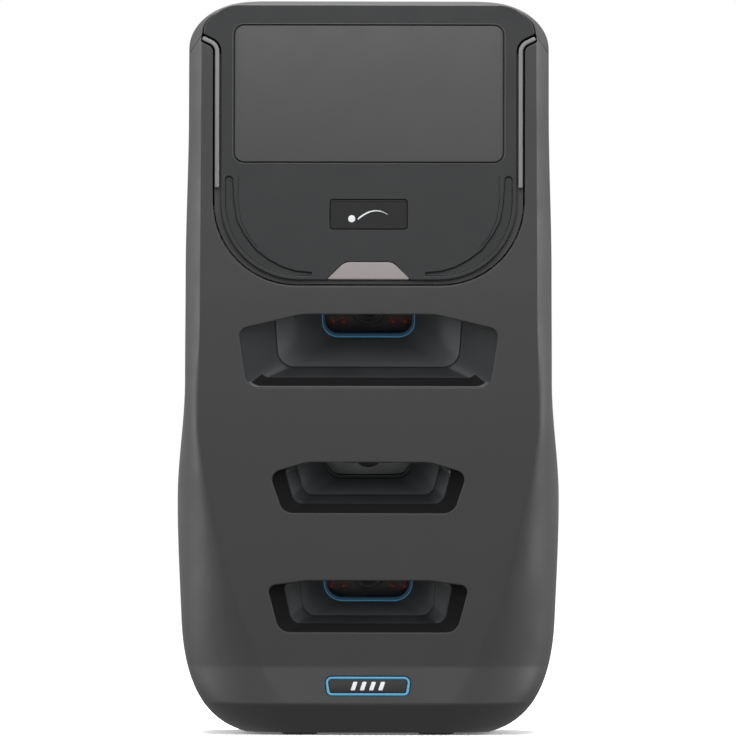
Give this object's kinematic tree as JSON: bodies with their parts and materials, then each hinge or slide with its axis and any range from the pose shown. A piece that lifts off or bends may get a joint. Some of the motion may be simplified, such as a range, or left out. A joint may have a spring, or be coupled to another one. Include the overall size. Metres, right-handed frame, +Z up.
{
  "type": "golf launch monitor",
  "caption": "Upright golf launch monitor: display bezel over hooded cameras, rear port door, carry handle, levelling foot.",
  "frame": {"origin": "bottom centre of the bounding box, on the surface the feet stand on", "axes": "+Z up, the front with the cameras faces -Y, +X to the right seen from the front"},
  "size_m": [0.162, 0.127, 0.3115],
  "materials": {
    "shell": "fine satin grain",
    "rear_shell": "fine satin grain",
    "bezel": "satin",
    "display": "anti-glare film",
    "trim": "satin",
    "light": "frosted translucent",
    "badge": "satin",
    "blue": "satin metallic blue",
    "hood": "semi gloss",
    "window": "dark polished",
    "lens": "gloss",
    "board": "solder mask",
    "metal": "brushed",
    "steel": "satin",
    "battery": "shrink wrap",
    "rubber": "matt"
  },
  "bodies": {
    "housing": {"front_shell": "shell", "rear_shell": "rear_shell", "base_plate": "shell", "display_bezel": "bezel", "display_window": "display", "display_module": "metal", "trim_left": "trim", "trim_right": "trim", "status_light_lens": "light", "status_light_board": "board", "upper_badge": "badge", "lower_badge": "badge", "lower_badge_ring": "blue", "upper_hood": "hood", "middle_hood": "hood", "lower_hood": "hood", "upper_ring": "blue", "middle_ring": "hood", "lower_ring": "blue", "upper_window": "window", "middle_window": "window", "lower_window": "window", "upper_lens": "lens", "middle_lens": "lens", "lower_lens": "lens", "upper_led_board": "board", "lower_led_board": "board", "upper_camera_board": "board", "middle_camera_board": "board", "lower_camera_board": "board", "optical_frame": "metal", "main_board": "board", "heat_sink": "metal", "battery_pack": "battery", "port_board": "board", "port_bay": "hood", "port_door_pin": "steel", "ethernet_jack": "steel", "usb_c_port": "steel", "power_inlet": "hood", "power_switch_board": "board", "handle_tray": "hood", "handle_grip": "rubber", "case_screw_1": "steel", "case_screw_2": "steel", "case_screw_3": "steel", "case_screw_4": "steel", "base_screw_1": "steel", "base_screw_2": "steel", "base_screw_3": "steel", "base_screw_4": "steel", "front_foot_left": "rubber", "front_foot_right": "rubber", "foot_bracket": "metal"},
    "door": {"port_door": "rear_shell"},
    "button": {"power_button": "trim"},
    "thumbwheel": {"foot_thumbwheel": "trim"},
    "foot": {"foot_post": "steel", "foot_pad": "rubber"}
  },
  "joints": [
    {"name": "port_door_hinge", "type": "hinge", "parent": "housing", "child": "door", "pos_m": [0, 0.0609, 0.0602], "axis": [-1, 0, 0], "range_deg": [0, 110]},
    {"name": "power_button_travel", "type": "slide", "parent": "housing", "child": "button", "axis": [0, -1, 0], "range_m": [0, 0.0008], "stiffness_N_per_m": 1500, "springref_m": -0.0008},
    {"name": "thumbwheel_turn", "type": "hinge", "parent": "housing", "child": "thumbwheel", "pos_m": [0, 0.0385, 0.012], "axis": [0, 0, 1], "range_deg": [0, 1440]},
    {"name": "foot_travel", "type": "slide", "parent": "housing", "child": "foot", "axis": [0, 0, -1], "range_m": [0, 0.008]}
  ],
  "couplings": [
    {"joint": "thumbwheel_turn", "follows": "foot_travel", "rad_per_m": 3141.6}
  ]
}
